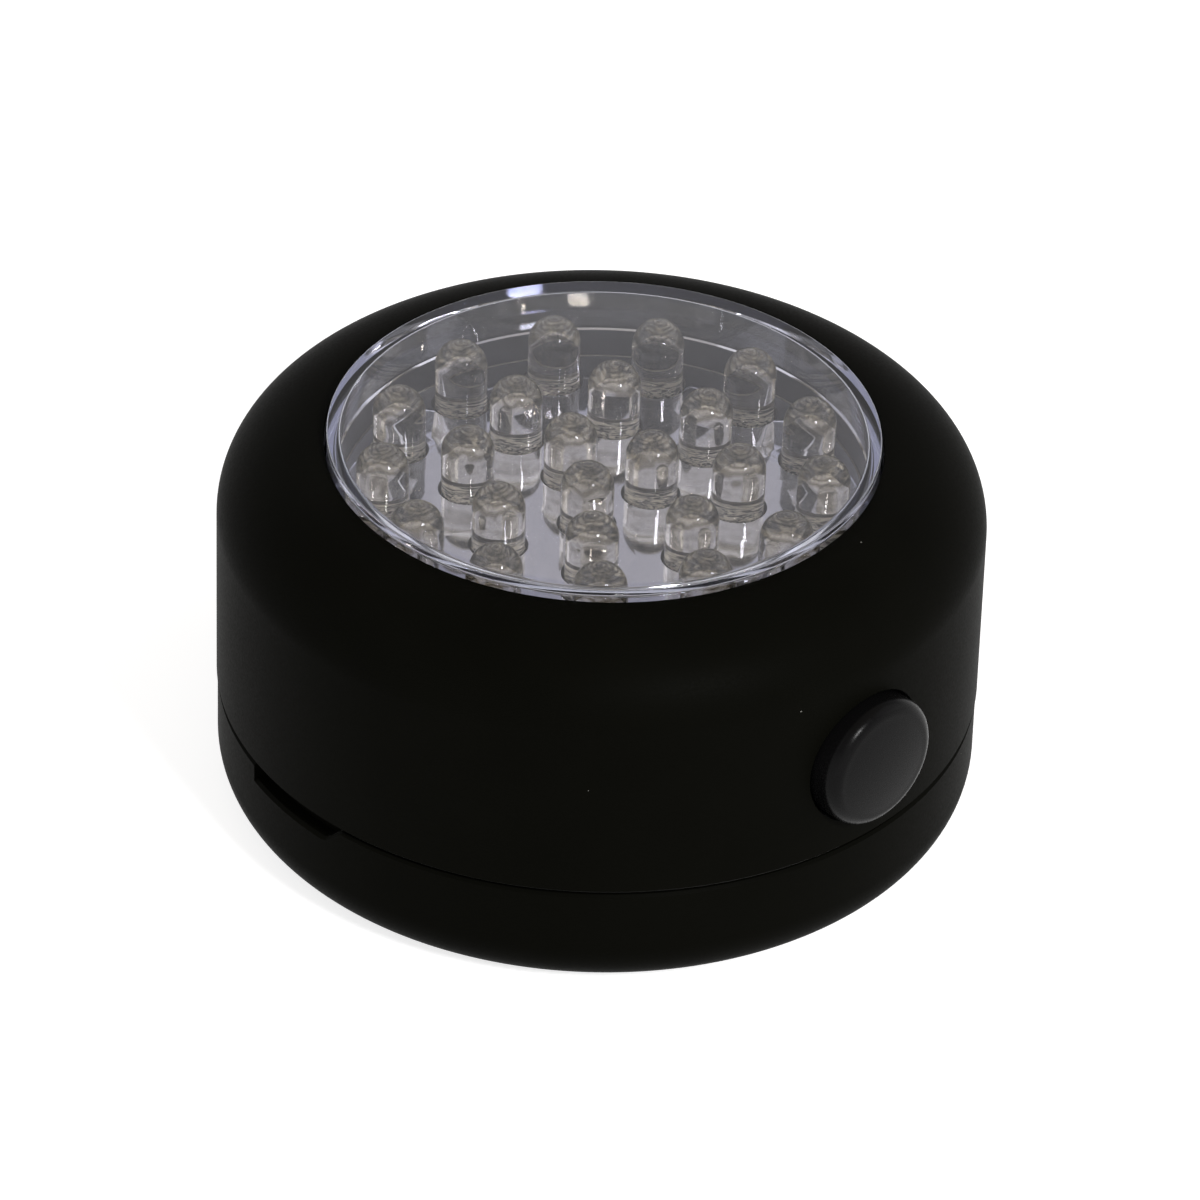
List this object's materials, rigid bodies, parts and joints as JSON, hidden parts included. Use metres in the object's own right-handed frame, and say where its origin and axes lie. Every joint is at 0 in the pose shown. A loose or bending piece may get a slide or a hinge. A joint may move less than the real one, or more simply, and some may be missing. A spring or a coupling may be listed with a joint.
{
  "type": "magnetic work light",
  "caption": "Round pocket work light with a clear window over ringed LEDs, a side push button, and a back that swivels with a magnet and a fold-out hanging hook.",
  "frame": {"origin": "centre of the back face, at the height of the magnet's face that the light stands or clings on", "axes": "+Z from the back face out through the window; -Y is the side seen in the picture, and the button points 46 degrees from +X towards -Y"},
  "size_m": [0.07, 0.07, 0.0374],
  "materials": {
    "soft_black": "soft-touch rubberised coating over black ABS",
    "satin_black": "satin black ABS",
    "clear_window": "clear polystyrene, polished",
    "mirror_coat": "vacuum-metallised ABS",
    "led_epoxy": "water-clear epoxy",
    "board": "white solder mask on fibreglass",
    "resistor_body": "lacquered ceramic",
    "tray_plastic": "black ABS as moulded",
    "cell_sleeve": "plain shrink sleeve on a steel can",
    "plated_steel": "nickel-plated steel",
    "magnet_nickel": "nickel-plated ferrite disc",
    "switch_nylon": "black nylon",
    "plunger_acetal": "natural acetal",
    "red_wire": "red PVC sleeve",
    "black_wire": "black PVC sleeve"
  },
  "bodies": {
    "housing": {"front_housing": "soft_black", "lens_cover": "clear_window", "reflector": "mirror_coat", "led_board": "board", "resistor": "resistor_body", "battery_tray": "tray_plastic", "battery_cell_1": "cell_sleeve", "battery_cell_2": "cell_sleeve", "battery_cell_3": "cell_sleeve", "contact_spring_1": "plated_steel", "contact_spring_2": "plated_steel", "contact_spring_3": "plated_steel", "positive_contact": "plated_steel", "negative_contact": "plated_steel", "bridge_contact_1": "plated_steel", "bridge_contact_2": "plated_steel", "switch_body": "switch_nylon", "wire_positive": "red_wire", "wire_negative": "black_wire", "wire_switch": "red_wire", "tray_screw_1": "plated_steel", "tray_screw_2": "plated_steel", "tray_screw_3": "plated_steel", "led_01": "led_epoxy", "led_02": "led_epoxy", "led_03": "led_epoxy", "led_04": "led_epoxy", "led_05": "led_epoxy", "led_06": "led_epoxy", "led_07": "led_epoxy", "led_08": "led_epoxy", "led_09": "led_epoxy", "led_10": "led_epoxy", "led_11": "led_epoxy", "led_12": "led_epoxy", "led_13": "led_epoxy", "led_14": "led_epoxy", "led_15": "led_epoxy", "led_16": "led_epoxy", "led_17": "led_epoxy", "led_18": "led_epoxy", "led_19": "led_epoxy", "led_20": "led_epoxy", "led_21": "led_epoxy", "led_22": "led_epoxy", "led_23": "led_epoxy", "led_24": "led_epoxy"},
    "button": {"push_button": "satin_black", "switch_plunger": "plunger_acetal"},
    "cover": {"rear_cover": "soft_black"},
    "swivel": {"hook_turntable": "satin_black", "magnet": "magnet_nickel", "hook_pin": "plated_steel", "turntable_screw": "plated_steel", "turntable_washer": "plated_steel"},
    "hook": {"hanging_hook": "satin_black"}
  },
  "joints": [
    {"name": "button_press", "type": "slide", "parent": "housing", "child": "button", "axis": [-0.6947, 0.7193, 0], "range_m": [0, 0.0012], "stiffness_N_per_m": 2500},
    {"name": "cover_pull", "type": "slide", "parent": "housing", "child": "cover", "axis": [0, 0, -1], "range_m": [0, 0.025]},
    {"name": "hook_swivel", "type": "hinge", "parent": "cover", "child": "swivel", "pos_m": [0, 0, 0.0035], "axis": [0, 0, 1], "continuous": true},
    {"name": "hook_fold", "type": "hinge", "parent": "swivel", "child": "hook", "pos_m": [0, -0.01825, 0.00195], "axis": [-1, 0, 0], "range_deg": [0, 90]}
  ]
}
